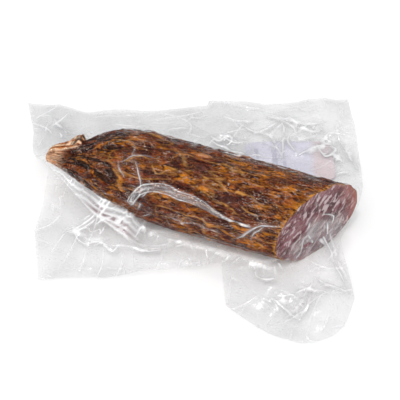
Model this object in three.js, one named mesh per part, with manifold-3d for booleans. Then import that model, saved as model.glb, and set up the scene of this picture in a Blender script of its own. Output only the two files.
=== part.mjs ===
// Half of a large cured sausage, sealed in a clear vacuum bag with wide flat margins.
// Millimetres, +Z up. The sausage lies on its side: its tied-off tip points to -X, its slanted
// cut face to +X. The bag is shrunk tight over it, and its margins spread out just above the floor.

import * as THREE from 'three';
import * as BufferGeometryUtils from 'three/addons/utils/BufferGeometryUtils.js';
import Module from 'manifold-3d';

const DEG = Math.PI / 180;

// How the sausage lies in plan
const LIE_ANGLE = -20.5 * DEG;        // direction of its axis, tip to cut, from +X
const TIP_X = -104;
const TIP_Y = 34.4;
const LENGTH = 205.5;                 // along the axis, from the tip to the middle of the cut
const CUT_ANGLE = 58.5 * DEG;         // between the axis and the cut face, in plan
const CUT_BULGE = 1.2;                // how far the middle of the cut face stands out
const FILM = 0.4;                     // film over the casing
const CLEARANCE = 0.3;                // kept between solids that touch

// Sections of the sausage: place along the axis, half width, half height, sideways shift of the
// middle from the axis, height of the middle above the floor
const SECTIONS = [
  [0, 4.4, 4.2, 1.0, 24.9],
  [14, 10.0, 8.0, 2.4, 25.5],
  [30, 18.6, 15.8, 3.8, 28.0],
  [47, 26.8, 24.0, 4.6, 30.0],
  [66, 31.2, 28.8, 3.8, 30.6],
  [86, 32.6, 31.0, 2.0, 30.6],
  [110, 32.8, 31.4, 0.8, 30.5],
  [150, 32.4, 31.2, 0.2, 30.4],
  [240, 32.4, 31.2, 0.0, 30.4],
];

// Wrinkles of the dried casing, which run along the sausage
const WRINKLE_HEIGHT = 0.55;
const WRINKLES_AROUND = 17;
const PLEATS_AT_TIP = 9;
const PLEAT_DEPTH = 0.13;             // share of the radius near the tip
const WRINKLE_LEVEL = 0.6;            // share of a wave's height at which the smooth form lies
const PLEAT_LEVEL = 0.7;

// Flap of loose casing folded back from the tip over the far side
const FLAP_LENGTH = 25;
const FLAP_HEIGHT = 7.8;
const FLAP_AT_TIP = 0.4;              // share of its height where it starts
const FLAP_TURN = 41 * DEG;           // round the sausage, from the top to the far side
const FLAP_SPREAD = 16 * DEG;

// Margins of the bag
const HALF_SPAN = 132;                // of the plate that the outline is cut from
const SHEET = 1.5;                    // both films together, with the air that stays between them
const MARGIN_HEIGHT = 7.5;
const MARGIN_DROOP = 0.045;           // lower for each mm away from the sausage
const LOWEST_MARGIN = 2.0;
const MARGIN_WAVE = 1.1;
const MARGIN_SINK = 0.12;             // share of the half width that their rise goes on inside it
const SEAM_HEIGHT = 13;               // where the margin meets the side of the sausage
const SEAM_HEIGHT_AT_TIP = 24;
const TIP_SEAM_REACH = 62;            // along the axis, where the seam has come down
const FILLET = 6;
const FILLET_AT_TIP = 12;
const TENT_HEIGHT = 28;               // film held away from the near side, from the tip to TENT_END
const TENT_REACH = 11;
const TENT_END = 88;

// Folds of film that stand up as tubes: [along the axis, degrees round from the top, lift off]
const LONG_PLEAT = [
  [79, -104, 0.2], [85, -68, 1.0], [94, -49, 1.2], [104, -44, 1.2], [121, -45, 1.2],
  [140, -55, 1.2], [158, -64, 1.0], [172, -68, 0.6], [190, -60, -0.4],
];
const LONG_PLEAT_RADIUS = 2.0;
const SIDE_GATHER = [[163, -78, -1.2], [157, -94, 0.8], [152, -106, 2.2], [149, -116, 5.0]];
const SIDE_GATHER_RADIUS = 3.0;

// Printed label under the far margin
const LABEL_X = 75;
const LABEL_Y = 51;
const LABEL_LENGTH = 66;
const LABEL_WIDTH = 42;
const LABEL_CORNER = 6;
const LABEL_TURN = 3 * DEG;
const LABEL_THICKNESS = 0.5;

// How finely the solids are divided
const STEPS_ALONG = 34;
const STEPS_AROUND = 52;
const SHEET_STEP = 8.6;
const TUBE_SIDES = 8;
const LABEL_STEP = 10.5;

const AXIS = new THREE.Vector2(Math.cos(LIE_ANGLE), Math.sin(LIE_ANGLE));
const SIDE = new THREE.Vector2(-AXIS.y, AXIS.x);

const wasm = await Module();
wasm.setup();

// Section of the sausage at a place along its axis, by a smooth curve through SECTIONS
function sectionAt(along) {
  const last = SECTIONS.length - 1;
  const s = THREE.MathUtils.clamp(along, SECTIONS[0][0], SECTIONS[last][0] - 1e-6);
  let i = 0;
  while (SECTIONS[i + 1][0] <= s) i += 1;
  const span = SECTIONS[i + 1][0] - SECTIONS[i][0];
  const u = (s - SECTIONS[i][0]) / span;
  const slope = (k, column) => {
    const before = SECTIONS[Math.max(k - 1, 0)];
    const after = SECTIONS[Math.min(k + 1, last)];
    return span * (after[column] - before[column]) / (after[0] - before[0]);
  };
  const value = (column) =>
    (2 * u ** 3 - 3 * u ** 2 + 1) * SECTIONS[i][column]
    + (u ** 3 - 2 * u ** 2 + u) * slope(i, column)
    + (3 * u ** 2 - 2 * u ** 3) * SECTIONS[i + 1][column]
    + (u ** 3 - u ** 2) * slope(i + 1, column);
  return { halfWidth: value(1), halfHeight: value(2), shift: value(3), height: value(4) };
}

// Height of wrinkles, pleats and the folded flap above the smooth form
function relief(along, turn, halfWidth) {
  const wander = 0.9 * Math.sin(along / 23) + 0.5 * Math.sin(along / 11 + 2);
  const wrinkles = WRINKLE_HEIGHT * (Math.sin(WRINKLES_AROUND * turn + 3 * wander) - WRINKLE_LEVEL)
    + 0.6 * WRINKLE_HEIGHT * (Math.sin(7 * turn - 2 * wander + along / 17) - WRINKLE_LEVEL);
  const grown = THREE.MathUtils.smoothstep(along, 20, 70);
  const nearTip = 1 - THREE.MathUtils.smoothstep(along, 8, 75);
  const pleats = PLEAT_DEPTH * halfWidth * nearTip
    * (Math.cos(PLEATS_AT_TIP * turn + wander) - PLEAT_LEVEL);
  const alongFlap = along / FLAP_LENGTH;
  const rise = THREE.MathUtils.smoothstep(alongFlap, -0.1, 0.12)
    * (1 - THREE.MathUtils.smoothstep(alongFlap, 0.82, 1.02))
    * THREE.MathUtils.lerp(FLAP_AT_TIP, 1, alongFlap);
  const flap = FLAP_HEIGHT * rise * Math.exp(-(((turn - FLAP_TURN) / FLAP_SPREAD) ** 2));
  const underside = THREE.MathUtils.smoothstep(Math.cos(turn), -0.97, -0.7);
  return underside * (wrinkles * grown + pleats) + flap;
}

// Point of the skin. share runs from 0 at the tip to 1 on the cut face; turn is 0 on top and
// positive towards the far side. The underside is flattened where it lies on the floor.
function skinPoint(share, turn, lift) {
  const reach = SECTIONS[SECTIONS.length - 1][1] * Math.sin(turn) / Math.tan(CUT_ANGLE);
  const along = share * (LENGTH + reach);
  const q = sectionAt(along);
  const out = relief(along, turn, q.halfWidth) + lift;
  const sideways = (q.halfWidth + out) * Math.sin(turn) + q.shift;
  const height = q.height + (q.halfHeight + out) * Math.cos(turn);
  return placed(along, sideways, Math.max(height, 0));
}

function placed(along, sideways, height) {
  return new THREE.Vector3(
    TIP_X + along * AXIS.x + sideways * SIDE.x,
    TIP_Y + along * AXIS.y + sideways * SIDE.y,
    height,
  );
}

function geometryFrom(points, triangles) {
  const geometry = new THREE.BufferGeometry();
  geometry.setAttribute('position', new THREE.Float32BufferAttribute(points, 3));
  geometry.setIndex(triangles);
  return geometry;
}

function solidFrom(geometry) {
  const bare = geometry.index ? geometry.clone() : geometry;
  bare.deleteAttribute('normal');
  bare.deleteAttribute('uv');
  const merged = BufferGeometryUtils.mergeVertices(bare, 1e-4);
  return new wasm.Manifold(new wasm.Mesh({
    numProp: 3,
    vertProperties: new Float32Array(merged.attributes.position.array),
    triVerts: new Uint32Array(merged.index.array),
  }));
}

// Loft of the sausage from the tip to the cut face, closed by a domed end at each side
function sausageGeometry(lift) {
  const points = [];
  const triangles = [];
  const ring = (share, inwards, push) => {
    const middle = skinPoint(share, 0, lift).add(skinPoint(share, Math.PI, lift)).multiplyScalar(0.5);
    for (let j = 0; j < STEPS_AROUND; j += 1) {
      const turn = -Math.PI + 2 * Math.PI * j / STEPS_AROUND;
      const p = skinPoint(share, turn, lift).lerp(middle, inwards);
      p.x += push * AXIS.x;
      p.y += push * AXIS.y;
      points.push(p.x, p.y, p.z);
    }
  };
  const past = lift - FILM;
  ring(0, 0.55, -1.6 - past);
  ring(0, 0, -past);
  for (let i = 1; i < STEPS_ALONG; i += 1) ring(i / STEPS_ALONG, 0, 0);
  ring(1, 0, past);
  ring(1, 0.45, past + 0.8 * CUT_BULGE);
  const rings = points.length / 3 / STEPS_AROUND;
  for (let i = 0; i + 1 < rings; i += 1) {
    for (let j = 0; j < STEPS_AROUND; j += 1) {
      const next = (j + 1) % STEPS_AROUND;
      const a = i * STEPS_AROUND + j;
      const b = i * STEPS_AROUND + next;
      triangles.push(a, a + STEPS_AROUND, b, b, a + STEPS_AROUND, b + STEPS_AROUND);
    }
  }
  const close = (firstOfRing, push, facingBack) => {
    const sum = new THREE.Vector3();
    for (let j = 0; j < STEPS_AROUND; j += 1) {
      sum.add(new THREE.Vector3().fromArray(points, 3 * (firstOfRing + j)));
    }
    sum.divideScalar(STEPS_AROUND);
    points.push(sum.x + push * AXIS.x, sum.y + push * AXIS.y, sum.z);
    const middle = points.length / 3 - 1;
    for (let j = 0; j < STEPS_AROUND; j += 1) {
      const a = firstOfRing + j;
      const b = firstOfRing + (j + 1) % STEPS_AROUND;
      triangles.push(middle, facingBack ? a : b, facingBack ? b : a);
    }
  };
  close(0, -0.6, true);
  close((rings - 1) * STEPS_AROUND, 0.2 * CUT_BULGE, false);
  return geometryFrom(points, triangles);
}

// How far a place in plan lies outside the sausage, and where along it that is. The distance goes on
// below zero for a few mm inside, so that the margins meet the sausage without a kink.
function outside(x, y) {
  const along = (x - TIP_X) * AXIS.x + (y - TIP_Y) * AXIS.y;
  const sideways = (x - TIP_X) * SIDE.x + (y - TIP_Y) * SIDE.y;
  const q = sectionAt(along);
  const pastSide = Math.abs(sideways - q.shift) - q.halfWidth;
  const pastCut = (along - LENGTH - sideways / Math.tan(CUT_ANGLE)) * Math.sin(CUT_ANGLE);
  const pastTip = Math.hypot(along, sideways - q.shift) - q.halfWidth;
  const beyond = Math.hypot(Math.max(pastSide, 0), Math.max(pastCut, 0));
  const gap = along < 0 ? pastTip : beyond || Math.max(pastSide, pastCut);
  return { along, sideways, gap: Math.max(gap, -MARGIN_SINK * q.halfWidth) };
}

// Height of the top of the margins: wavy, lower further out, and drawn up to the sausage
function marginTop(x, y) {
  const { along, sideways, gap } = outside(x, y);
  const waves = Math.sin(x / 13 + 0.7 * Math.sin(y / 19)) * Math.sin(y / 17 + 1.2)
    + 0.6 * Math.sin(x / 7.5 - y / 11);
  const flat = Math.max(MARGIN_HEIGHT - MARGIN_DROOP * gap, LOWEST_MARGIN)
    + MARGIN_WAVE * waves * THREE.MathUtils.smoothstep(gap, 2, 20);
  const toTip = 1 - THREE.MathUtils.smoothstep(along, 5, TIP_SEAM_REACH);
  const tent = (1 - THREE.MathUtils.smoothstep(along, TENT_END - 12, TENT_END + 6))
    * THREE.MathUtils.smoothstep(along, -4, 14) * (1 - THREE.MathUtils.smoothstep(sideways, -4, 4));
  const closeSeam = THREE.MathUtils.lerp(SEAM_HEIGHT, SEAM_HEIGHT_AT_TIP, toTip);
  const closeReach = THREE.MathUtils.lerp(FILLET, FILLET_AT_TIP, toTip) * (1 + 0.25 * Math.sin(along / 6));
  const seam = THREE.MathUtils.lerp(closeSeam, TENT_HEIGHT, tent);
  const reach = THREE.MathUtils.lerp(closeReach, TENT_REACH, tent);
  return Math.max(flat + (seam - MARGIN_HEIGHT) * Math.exp(-gap / reach), SHEET + 0.3);
}

// Wavy plate over a rectangle, between two height functions
function plateGeometry(minX, maxX, minY, maxY, step, topAt, bottomAt) {
  const columns = Math.ceil((maxX - minX) / step);
  const rows = Math.ceil((maxY - minY) / step);
  const layer = (columns + 1) * (rows + 1);
  const points = [];
  const triangles = [];
  for (const heightAt of [bottomAt, topAt]) {
    for (let j = 0; j <= rows; j += 1) {
      for (let i = 0; i <= columns; i += 1) {
        const x = minX + (maxX - minX) * i / columns;
        const y = minY + (maxY - minY) * j / rows;
        points.push(x, y, heightAt(x, y));
      }
    }
  }
  const at = (i, j) => j * (columns + 1) + i;
  for (let j = 0; j < rows; j += 1) {
    for (let i = 0; i < columns; i += 1) {
      const corners = [at(i, j), at(i + 1, j), at(i + 1, j + 1), at(i, j + 1)];
      const [a, b, c, d] = corners;
      const [ta, tb, tc, td] = corners.map((k) => k + layer);
      triangles.push(ta, tb, tc, ta, tc, td, a, c, b, a, d, c);
    }
  }
  const wall = (a, b) => triangles.push(a, b, b + layer, a, b + layer, a + layer);
  for (let i = 0; i < columns; i += 1) {
    wall(at(i, 0), at(i + 1, 0));
    wall(at(i + 1, rows), at(i, rows));
  }
  for (let j = 0; j < rows; j += 1) {
    wall(at(columns, j), at(columns, j + 1));
    wall(at(0, j + 1), at(0, j));
  }
  return geometryFrom(points, triangles);
}

// Outline of the flattened bag in plan, with the rounded flap that hangs out at the near side
function bagOutline() {
  const shape = new THREE.Shape();
  shape.moveTo(-127.5, 116);
  shape.lineTo(-119.5, 78);
  shape.quadraticCurveTo(-121, 47, -103, 26);
  shape.quadraticCurveTo(-107, 2, -110.5, -22);
  shape.lineTo(-104.5, -66);
  shape.lineTo(-60, -65);
  shape.lineTo(22, -54);
  shape.lineTo(25, -91);
  shape.quadraticCurveTo(47, -113, 74, -122);
  shape.quadraticCurveTo(103, -119, 108, -98);
  shape.lineTo(113, -84);
  shape.lineTo(107, -32);
  shape.quadraticCurveTo(121, -8, 127.5, 22);
  shape.lineTo(127.5, 84);
  shape.lineTo(124.5, 122);
  shape.lineTo(102, 122);
  shape.lineTo(58, 117);
  shape.lineTo(14.5, 119);
  shape.lineTo(13.5, 112.5);
  shape.lineTo(-33, 107);
  shape.lineTo(-80, 105.5);
  shape.lineTo(-102, 114);
  shape.closePath();
  return shape;
}

// Rounded outline of the label
function labelOutline() {
  const shape = new THREE.Shape();
  const x = LABEL_LENGTH / 2;
  const y = LABEL_WIDTH / 2;
  const r = LABEL_CORNER;
  shape.moveTo(-x + r, -y);
  shape.lineTo(x - r, -y);
  shape.absarc(x - r, -y + r, r, -Math.PI / 2, 0, false);
  shape.lineTo(x, y - r);
  shape.absarc(x - r, y - r, r, 0, Math.PI / 2, false);
  shape.lineTo(-x + r, y);
  shape.absarc(-x + r, y - r, r, Math.PI / 2, Math.PI, false);
  shape.lineTo(-x, -y + r);
  shape.absarc(-x + r, -y + r, r, Math.PI, 1.5 * Math.PI, false);
  return shape;
}

function prismOf(shape, curveSegments) {
  const geometry = new THREE.ExtrudeGeometry(shape, { depth: 90, bevelEnabled: false, curveSegments });
  geometry.translate(0, 0, -10);
  return geometry;
}

// Tube along a fold of film that stands up from the skin, with its lower half sunk in
function foldTube(route, radius, steps) {
  const path = new THREE.CatmullRomCurve3(route.map(([along, degrees, lift]) => {
    const turn = degrees * DEG;
    const q = sectionAt(along);
    const sideways = (q.halfWidth + FILM + lift) * Math.sin(turn) + q.shift;
    return placed(along, sideways, q.height + (q.halfHeight + FILM + lift) * Math.cos(turn));
  }));
  const section = new THREE.Shape();
  section.absarc(0, 0, radius, 0, 2 * Math.PI, false);
  return new THREE.ExtrudeGeometry(section, {
    steps, curveSegments: TUBE_SIDES / 2, bevelEnabled: false, extrudePath: path,
  });
}

// The sausage in its tight film, with the folds that stand up from it. grow makes it larger all round.
function sealedSausage(grow) {
  return solidFrom(sausageGeometry(FILM + grow))
    .add(solidFrom(foldTube(LONG_PLEAT, LONG_PLEAT_RADIUS + grow, 26)))
    .add(solidFrom(foldTube(SIDE_GATHER, SIDE_GATHER_RADIUS + grow, 8)));
}

// The largest piece of a cut solid, without the loose scraps
function largestPiece(solid) {
  return solid.decompose().reduce((a, b) => (b.volume() > a.volume() ? b : a));
}

// The flat rest of the bag, open where the sausage lies in it
function bagMargins() {
  const sheet = plateGeometry(
    -HALF_SPAN, HALF_SPAN, -HALF_SPAN, HALF_SPAN,
    SHEET_STEP, marginTop, (x, y) => marginTop(x, y) - SHEET,
  );
  return largestPiece(solidFrom(sheet)
    .intersect(solidFrom(prismOf(bagOutline(), 5)))
    .subtract(sealedSausage(CLEARANCE)));
}

function label() {
  const top = (x, y) => marginTop(x, y) - SHEET - CLEARANCE;
  const half = 0.5 * Math.hypot(LABEL_LENGTH, LABEL_WIDTH);
  const plate = plateGeometry(
    LABEL_X - half, LABEL_X + half, LABEL_Y - half, LABEL_Y + half,
    LABEL_STEP, top, (x, y) => top(x, y) - LABEL_THICKNESS,
  );
  const prism = prismOf(labelOutline(), 4);
  prism.rotateZ(LABEL_TURN);
  prism.translate(LABEL_X, LABEL_Y, 0);
  return solidFrom(plate).intersect(solidFrom(prism));
}

function meshOf(name, solid, material) {
  const { vertProperties, triVerts } = solid.getMesh();
  const mesh = new THREE.Mesh(geometryFrom(Array.from(vertProperties), Array.from(triVerts)), material);
  mesh.name = name;
  return mesh;
}

const casing = new THREE.MeshStandardMaterial({ color: 0x6b3a22, roughness: 0.35, metalness: 0 });
const film = new THREE.MeshStandardMaterial({ color: 0xe4e4e8, roughness: 0.15, metalness: 0 });
const paper = new THREE.MeshStandardMaterial({ color: 0xcfcdd7, roughness: 0.6, metalness: 0 });

const part = new THREE.Group();
part.add(meshOf('sealed_sausage', sealedSausage(0), casing));
part.add(meshOf('bag_margins', bagMargins(), film));
part.add(meshOf('label', label(), paper));

// Origin at the middle of the bounding box, on the floor
const box = new THREE.Box3().setFromObject(part);
part.position.set(-(box.min.x + box.max.x) / 2, -(box.min.y + box.max.y) / 2, -box.min.z);

export default part;
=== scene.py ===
"""Looks of the cured sausage in its vacuum bag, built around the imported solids.

Lengths in the shape functions are millimetres in the part's frame; meshes are made in metres.
"along" runs along the sausage from its tip, "turn" goes round it from the top to the far side.
"""
from math import cos, pi, radians, sin, tan

import bpy
import numpy as np
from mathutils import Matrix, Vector


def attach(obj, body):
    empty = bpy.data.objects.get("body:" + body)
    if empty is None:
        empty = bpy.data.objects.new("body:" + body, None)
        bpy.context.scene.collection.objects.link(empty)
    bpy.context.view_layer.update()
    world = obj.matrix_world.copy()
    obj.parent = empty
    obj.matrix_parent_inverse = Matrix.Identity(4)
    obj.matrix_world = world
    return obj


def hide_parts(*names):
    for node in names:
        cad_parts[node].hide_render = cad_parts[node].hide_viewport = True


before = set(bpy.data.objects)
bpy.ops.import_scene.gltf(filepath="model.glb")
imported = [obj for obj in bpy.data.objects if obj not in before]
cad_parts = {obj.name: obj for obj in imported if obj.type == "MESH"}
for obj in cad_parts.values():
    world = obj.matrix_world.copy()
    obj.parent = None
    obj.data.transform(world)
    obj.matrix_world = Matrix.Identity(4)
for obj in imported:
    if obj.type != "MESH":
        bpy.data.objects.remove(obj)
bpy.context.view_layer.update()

MM = 0.001

# The sausage, as in the solids
LIE_ANGLE = radians(-20.5)
TIP = (-104.0, 34.4)
LENGTH = 205.5
CUT_ANGLE = radians(58.5)
CUT_BULGE = 1.2
AXIS = np.array([cos(LIE_ANGLE), sin(LIE_ANGLE)])
SIDE = np.array([-AXIS[1], AXIS[0]])

# Place along, half width, half height, sideways shift of the middle, height of the middle
SECTIONS = np.array([
    [0, 4.4, 4.2, 1.0, 24.9],
    [14, 10.0, 8.0, 2.4, 25.5],
    [30, 18.6, 15.8, 3.8, 28.0],
    [47, 26.8, 24.0, 4.6, 30.0],
    [66, 31.2, 28.8, 3.8, 30.6],
    [86, 32.6, 31.0, 2.0, 30.6],
    [110, 32.8, 31.4, 0.8, 30.5],
    [150, 32.4, 31.2, 0.2, 30.4],
    [240, 32.4, 31.2, 0.0, 30.4],
])

# Folds and flap of the casing
WRINKLE_HEIGHT = 0.55
WRINKLES_AROUND = 17
WRINKLE_LEVEL = 0.6
PLEATS_AT_TIP = 9
PLEAT_DEPTH = 0.13
PLEAT_LEVEL = 0.7
FLAP_LENGTH = 25.0
FLAP_HEIGHT = 7.8
FLAP_AT_TIP = 0.4
FLAP_TURN = radians(41)
FLAP_SPREAD = radians(16)
VEIN_HEIGHT = 0.8
VEIN_WIDTH = 0.5
WRINKLE_DEPTH = 0.55
FOLD_DEPTH = 0.15
# Millimetres round the sausage for each radian of turn
ROUND = 32.0
TIP_POINT = 1.5
LOWEST_CASING = 0.25
FACE_RELIEF = 0.22

# Margins of the bag
MARGIN_HEIGHT = 7.5
MARGIN_DROOP = 0.045
LOWEST_MARGIN = 2.0
MARGIN_WAVE = 1.1
SEAM_HEIGHT = 13.0
SEAM_HEIGHT_AT_TIP = 24.0
TIP_SEAM_REACH = 62.0
FILLET = 6.0
FILLET_AT_TIP = 12.0
TENT_HEIGHT = 28.0
TENT_REACH = 11.0
TENT_END = 88.0
LOWEST_MARGIN_TOP = 1.8
FILM_LIFT = 0.3
FACE_FILM_LIFT = 0.65
UNDER_FILM_DROP = 0.45
LOWEST_UNDER_FILM = 0.15
# How deep the film follows the hollows of the casing
FILM_BRIDGE = -0.75

# Reach of the film's grid: before the tip, past the cut, from the near and the far side
GRID_BEFORE = 56
GRID_BEYOND = 84
GRID_NEAR = 118
GRID_FAR = 176
RELAX_ROUNDS = 24
RELAX_ROUNDS_UNDER = 8

# How finely the meshes are divided
CASING_ROWS = 300
TIP_ROWS = 110
TIP_SHARE = 0.3
CASING_AROUND = 290
FINEST_TURN = radians(-35)
FACE_RINGS = 44
FILM_STEP = 0.7
UNDER_STEP = 1.6

# The view: a camera 965 mm off, 46 degrees up, that shows 0.72 mm in each of 400 pixels
VIEW_MIDDLE = Vector((7.5, 0, 14.5)) * MM
VIEW_DISTANCE = 965 * MM
VIEW_ELEVATION = radians(46)
VIEW_WIDTH = 0.72 * 400 * MM
SENSOR = 36.0


# Numbers

HASH_STEPS = (374761393, 668265263, 1274126177)
HASH_SEED = 974634777
HASH_MIXES = ((13, 1103515245), (16, 2246822519))
WORD = 0xFFFFFFFF
FAR_OFF = 1e9


def rise(x, low, high):
    """0 up to low, 1 from high on, and smooth between them."""
    u = np.clip((np.asarray(x, float) - low) / (high - low), 0, 1)
    return u * u * (3 - 2 * u)


def fall(x, low, high):
    """1 up to low, 0 from high on, and smooth between them."""
    return 1.0 - rise(x, low, high)


def wave(x):
    """A sine wave between 0 and 1."""
    return 0.5 + 0.5 * np.sin(x)


def bell(*offsets):
    """1 where every offset is 0, falling off smoothly as they grow."""
    return np.exp(-sum(offset ** 2 for offset in offsets))


def noise(x, y, z, seed=0):
    """Smooth lattice noise from -1 to 1, the same for the same place and seed."""
    x, y, z = np.broadcast_arrays(*(np.asarray(v, float) for v in (x, y, z)))
    cell = [np.floor(v).astype(np.int64) for v in (x, y, z)]
    part = [v - c for v, c in zip((x, y, z), cell)]
    blend = [p * p * (3 - 2 * p) for p in part]
    total = np.zeros(x.shape)
    for corner in np.ndindex(2, 2, 2):
        h = sum((c + side) * step for c, side, step in zip(cell, corner, HASH_STEPS)) + seed * HASH_SEED
        h = h & WORD
        for shift, factor in HASH_MIXES:
            h = ((h ^ (h >> shift)) * factor) & WORD
        weight = ((h >> 8) & 0xFFFF) / 32767.5 - 1
        for side, b in zip(corner, blend):
            weight = weight * (b if side else 1 - b)
        total += weight
    return total


def layered(x, y, z, octaves, seed=0):
    total = 0
    for n in range(octaves):
        total = total + noise(x * 2 ** n, y * 2 ** n, z * 2 ** n, seed + 31 * n) / 2 ** n
    return total


def nearest_on_line(points, line):
    """Distance of each point to a polyline, the share of its length where that is, and the place."""
    line = np.asarray(line, float)
    best = np.full(len(points), FAR_OFF)
    share = np.zeros(len(points))
    place = points.copy()
    lengths = np.linalg.norm(np.diff(line, axis=0), axis=1)
    before = np.concatenate([[0], np.cumsum(lengths)])
    for n, (a, b) in enumerate(zip(line[:-1], line[1:])):
        ab = b - a
        u = np.clip((points - a) @ ab / max(ab @ ab, 1e-9), 0, 1)
        foot = a + u[:, None] * ab
        d = np.linalg.norm(points - foot, axis=1)
        near = d < best
        best[near] = d[near]
        share[near] = (before[n] + u[near] * lengths[n]) / before[-1]
        place[near] = foot[near]
    return best, share, place


def near_line(points, line, reach):
    """Which points lie near a polyline, their distance to it and the share of its length there."""
    low, high = line.min(axis=0) - reach, line.max(axis=0) + reach
    which = np.flatnonzero(((points > low) & (points < high)).all(axis=1))
    distance, share, _ = nearest_on_line(points[which], line)
    return which, distance, share


def oval(flat, middle, half_length, half_width, angle):
    """1 in the middle of a tilted oval, falling off smoothly."""
    u, v = (flat - middle).T
    lengthwise = u * cos(angle) + v * sin(angle)
    crosswise = v * cos(angle) - u * sin(angle)
    return bell(lengthwise / half_length, crosswise / half_width)


def plan(points):
    """The x and y of points."""
    return points[..., 0], points[..., 1]


def pairs(places):
    """Places, written one after the other, as rows of two."""
    return np.reshape(places, (-1, 2))


def inside(polygon, x, y):
    """Which points lie inside a closed polygon."""
    polygon = np.asarray(polygon, float)
    result = np.zeros(x.shape, bool)
    for (x0, y0), (x1, y1) in zip(polygon, np.roll(polygon, -1, axis=0)):
        if y0 != y1:
            result ^= ((y0 > y) != (y1 > y)) & (x < x0 + (y - y0) * (x1 - x0) / (y1 - y0))
    return result


def curve_through(points, steps=8):
    """Smooth curve through given points."""
    p = np.asarray(points, float)
    ends = np.vstack([2 * p[0] - p[1], p, 2 * p[-1] - p[-2]])
    out = []
    for i in range(1, len(ends) - 2):
        a, b, c, d = ends[i - 1:i + 3]
        for u in np.linspace(0, 1, steps, endpoint=False):
            out.append(0.5 * (2 * b + (c - a) * u + (2 * a - 5 * b + 4 * c - d) * u ** 2
                              + (3 * b - a - 3 * c + d) * u ** 3))
    out.append(p[-1])
    return np.array(out)


# The form of the sausage

def section_at(along):
    s = np.clip(np.asarray(along, float), SECTIONS[0, 0], SECTIONS[-1, 0] - 1e-6)
    i = np.searchsorted(SECTIONS[:, 0], s, side="right") - 1
    before = SECTIONS[np.clip(i - 1, 0, None)]
    here = SECTIONS[i]
    after = SECTIONS[i + 1]
    beyond = SECTIONS[np.clip(i + 2, None, len(SECTIONS) - 1)]
    span = (after[..., 0] - here[..., 0])[..., None]
    u = (s - here[..., 0])[..., None] / span
    slope_here = span * (after - before)[..., 1:] / (after - before)[..., :1]
    slope_after = span * (beyond - here)[..., 1:] / (beyond - here)[..., :1]
    q = ((2 * u ** 3 - 3 * u ** 2 + 1) * here[..., 1:] + (u ** 3 - 2 * u ** 2 + u) * slope_here
         + (3 * u ** 2 - 2 * u ** 3) * after[..., 1:] + (u ** 3 - u ** 2) * slope_after)
    return q[..., 0], q[..., 1], q[..., 2], q[..., 3]


def flap_mask(along, turn):
    """How much of the casing's flap stands at a place, from 0 to 1."""
    part = along / FLAP_LENGTH
    ragged = 0.05 * noise(turn * 9, 0, 0, 5)
    grown = rise(part, -0.1, 0.12) * fall(part + ragged, 0.82, 1.02)
    return grown * (FLAP_AT_TIP + (1 - FLAP_AT_TIP) * part) * bell((turn - FLAP_TURN) / FLAP_SPREAD)


def above_floor(turn):
    """0 where the sausage lies on the floor, 1 elsewhere."""
    return rise(np.cos(turn), -0.97, -0.7)


def coarse_relief(along, turn, half_width):
    wander = 0.9 * np.sin(along / 23) + 0.5 * np.sin(along / 11 + 2)
    wrinkles = (WRINKLE_HEIGHT * (np.sin(WRINKLES_AROUND * turn + 3 * wander) - WRINKLE_LEVEL)
                + 0.6 * WRINKLE_HEIGHT * (np.sin(7 * turn - 2 * wander + along / 17) - WRINKLE_LEVEL))
    grown = rise(along, 20, 70)
    near_tip = fall(along, 8, 75)
    pleats = PLEAT_DEPTH * half_width * near_tip * (np.cos(PLEATS_AT_TIP * turn + wander) - PLEAT_LEVEL)
    return above_floor(turn) * (wrinkles * grown + pleats) + FLAP_HEIGHT * flap_mask(along, turn)


# Veins that show on the near side: places along the sausage and degrees round it, in turn
VEINS = [
    (87, -22, 89, -29, 92, -34, 96, -34, 100, -27, 107, -23, 109, -22),
    (109, -22, 117, -20, 121, -20, 127, -24, 136, -23, 145, -30, 157, -30, 167, -35, 174, -38, 185, -38),
    (131, 1, 138, 0, 148, -3, 157, -6), (134, 5, 145, 0, 152, -4, 164, -14, 175, -9),
    (118, -35, 130, -42, 138, -47, 155, -56, 160, -56), (156, -46, 164, -50, 169, -51),
    (94, -78, 105, -75, 128, -78, 140, -82, 149, -82), (90, -67, 100, -57, 121, -52, 134, -58, 156, -70),
    (29, -22, 42, -28, 55, -29, 68, -30), (62, -36, 66, -34, 69, -30, 74, -23, 79, -19, 88, -19),
]
# Deep folds that run out from the tip, set the same way; painted shade darkens the casing in them
DEEP_FOLDS = [
    (16, -32, 37, -58, 58, -70, 74, -76), (17, -24, 34, -35, 54, -42, 64, -50),
    (27, -13, 42, -11, 55, -15, 66, -6), (20, -38, 34, -48, 48, -61, 64, -71), (26, -51, 48, -68, 66, -72),
    (30, 16, 51, 6, 68, 4), (24, 2, 36, -2, 50, -2),
]


def line_on_skin(places, steps=8):
    """Curve on the unrolled skin, in mm along and round it, through given places."""
    return curve_through(pairs(places) * (1, radians(1) * ROUND), steps)


def by_hand(along, turn, lines, width, jagged):
    """Nearness to listed lines on the casing, from 0 to 1."""
    along, round_mm = np.broadcast_arrays(along, turn * ROUND)
    jag = [jagged * noise(along / 4, round_mm / 3, n, 17) for n in (0, 5)]
    flat = np.stack([along + jag[0], round_mm + jag[1]], axis=-1).reshape(-1, 2)
    ridge = np.zeros(len(flat))
    for places in lines:
        which, d, share = near_line(flat, line_on_skin(places, 5), 3 + width)
        ends = rise(share, 0, 0.1) * fall(share, 0.8, 1)
        ridge[which] = np.maximum(ridge[which], ends * bell(d / width))
    return ridge.reshape(along.shape) * rise(noise(along / 7, round_mm / 5, 3, 18), -0.9, 0.1)


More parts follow.
